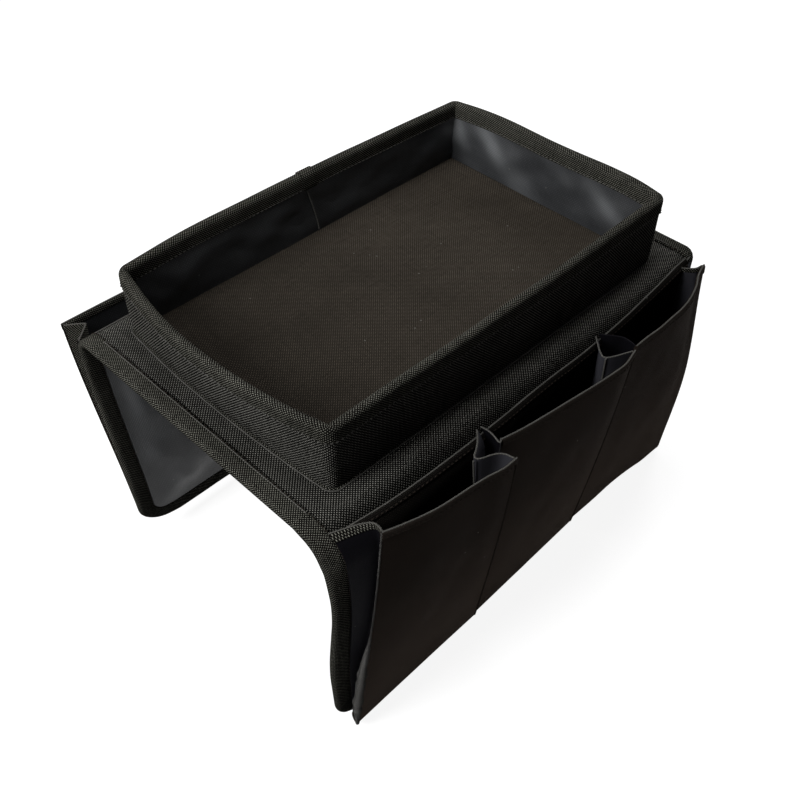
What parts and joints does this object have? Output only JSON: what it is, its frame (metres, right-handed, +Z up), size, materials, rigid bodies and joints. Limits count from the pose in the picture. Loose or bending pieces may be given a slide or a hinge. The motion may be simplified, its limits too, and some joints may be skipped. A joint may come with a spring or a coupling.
{
  "type": "sofa armrest organizer",
  "caption": "Black cloth organizer that hangs over a sofa arm, with an open tray on top and pleated pockets on both hanging flaps.",
  "frame": {"origin": "centre of the top panel's lining, where it lies on the sofa's arm", "axes": "+X across the arm towards the flap with three pockets, +Y along the arm away from the front end, +Z up"},
  "size_m": [0.2886, 0.362, 0.2418],
  "materials": {
    "woven_black": "black woven polyester, matt with a fine weave",
    "coated_grey": "dark grey coated lining, satin",
    "edge_tape": "black woven edge tape",
    "pocket_cloth": "black woven polyester, smoother",
    "foam_padding": "white foam sheet, hidden",
    "stiffener_board": "white plastic sheet, hidden"
  },
  "bodies": {
    "base": {"back_binding": "edge_tape", "front_binding": "edge_tape", "left_fold_back_binding": "edge_tape", "left_fold_cover": "woven_black", "left_fold_front_binding": "edge_tape", "left_fold_lining": "coated_grey", "right_fold_back_binding": "edge_tape", "right_fold_cover": "woven_black", "right_fold_front_binding": "edge_tape", "right_fold_lining": "coated_grey", "top_cover": "woven_black", "top_lining": "coated_grey", "top_padding": "foam_padding", "tray_back_board": "stiffener_board", "tray_base_piping": "edge_tape", "tray_floor_board": "stiffener_board", "tray_floor_cloth": "woven_black", "tray_front_board": "stiffener_board", "tray_left_board": "stiffener_board", "tray_lining_band": "coated_grey", "tray_outer_band": "woven_black", "tray_right_board": "stiffener_board", "tray_rim_binding": "edge_tape"},
    "left_flap": {"left_backing_hem": "edge_tape", "left_flap_binding": "edge_tape", "left_flap_cover": "woven_black", "left_flap_lining": "coated_grey", "left_flap_padding": "foam_padding", "left_pocket_1_back_pleat": "pocket_cloth", "left_pocket_1_front_pleat": "pocket_cloth", "left_pocket_2_back_pleat": "pocket_cloth", "left_pocket_2_front_pleat": "pocket_cloth", "left_pocket_backing": "pocket_cloth"},
    "right_flap": {"right_backing_hem": "edge_tape", "right_flap_binding": "edge_tape", "right_flap_cover": "woven_black", "right_flap_lining": "coated_grey", "right_flap_padding": "foam_padding", "right_pocket_1_back_pleat": "pocket_cloth", "right_pocket_1_front_pleat": "pocket_cloth", "right_pocket_2_back_pleat": "pocket_cloth", "right_pocket_2_front_pleat": "pocket_cloth", "right_pocket_3_back_pleat": "pocket_cloth", "right_pocket_3_front_pleat": "pocket_cloth", "right_pocket_backing": "pocket_cloth"},
    "left_pocket_1": {"left_pocket_1_front": "pocket_cloth", "left_pocket_1_hem": "edge_tape"},
    "left_pocket_2": {"left_pocket_2_front": "pocket_cloth", "left_pocket_2_hem": "edge_tape"},
    "right_pocket_1": {"right_pocket_1_front": "pocket_cloth", "right_pocket_1_hem": "edge_tape"},
    "right_pocket_2": {"right_pocket_2_front": "pocket_cloth", "right_pocket_2_hem": "edge_tape"},
    "right_pocket_3": {"right_pocket_3_front": "pocket_cloth", "right_pocket_3_hem": "edge_tape"}
  },
  "joints": [
    {"name": "left_flap_fold", "type": "hinge", "parent": "base", "child": "left_flap", "pos_m": [-0.107, 0, -0.0034], "axis": [0, 1, 0], "range_deg": [-80, 90], "deforming": ["left_fold_back_binding", "left_fold_cover", "left_fold_front_binding", "left_fold_lining"]},
    {"name": "right_flap_fold", "type": "hinge", "parent": "base", "child": "right_flap", "pos_m": [0.114, 0, -0.0054], "axis": [0, -1, 0], "range_deg": [-60, 88], "deforming": ["right_fold_back_binding", "right_fold_cover", "right_fold_front_binding", "right_fold_lining"]},
    {"name": "left_pocket_1_open", "type": "hinge", "parent": "left_flap", "child": "left_pocket_1", "pos_m": [-0.09694, -0.09365, -0.17185], "axis": [0, -1, 0], "range_deg": [-4, 6], "stiffness_Nm_per_rad": 0.06, "deforming": ["left_pocket_1_back_pleat", "left_pocket_1_front_pleat"]},
    {"name": "left_pocket_2_open", "type": "hinge", "parent": "left_flap", "child": "left_pocket_2", "pos_m": [-0.09885, 0.07945, -0.17185], "axis": [0, -1, 0], "range_deg": [-4, 6], "stiffness_Nm_per_rad": 0.06, "deforming": ["left_pocket_2_back_pleat", "left_pocket_2_front_pleat"]},
    {"name": "right_pocket_1_open", "type": "hinge", "parent": "right_flap", "child": "right_pocket_1", "pos_m": [0.12369, -0.114, -0.17732], "axis": [0, 1, 0], "range_deg": [-2, 8], "stiffness_Nm_per_rad": 0.06, "deforming": ["right_pocket_1_back_pleat", "right_pocket_1_front_pleat"]},
    {"name": "right_pocket_2_open", "type": "hinge", "parent": "right_flap", "child": "right_pocket_2", "pos_m": [0.12045, 0.002, -0.18005], "axis": [0, 1, 0], "range_deg": [-2, 8], "stiffness_Nm_per_rad": 0.06, "deforming": ["right_pocket_2_back_pleat", "right_pocket_2_front_pleat"]},
    {"name": "right_pocket_3_open", "type": "hinge", "parent": "right_flap", "child": "right_pocket_3", "pos_m": [0.11721, 0.118, -0.18278], "axis": [0, 1, 0], "range_deg": [-2, 8], "stiffness_Nm_per_rad": 0.06, "deforming": ["right_pocket_3_back_pleat", "right_pocket_3_front_pleat"]}
  ]
}
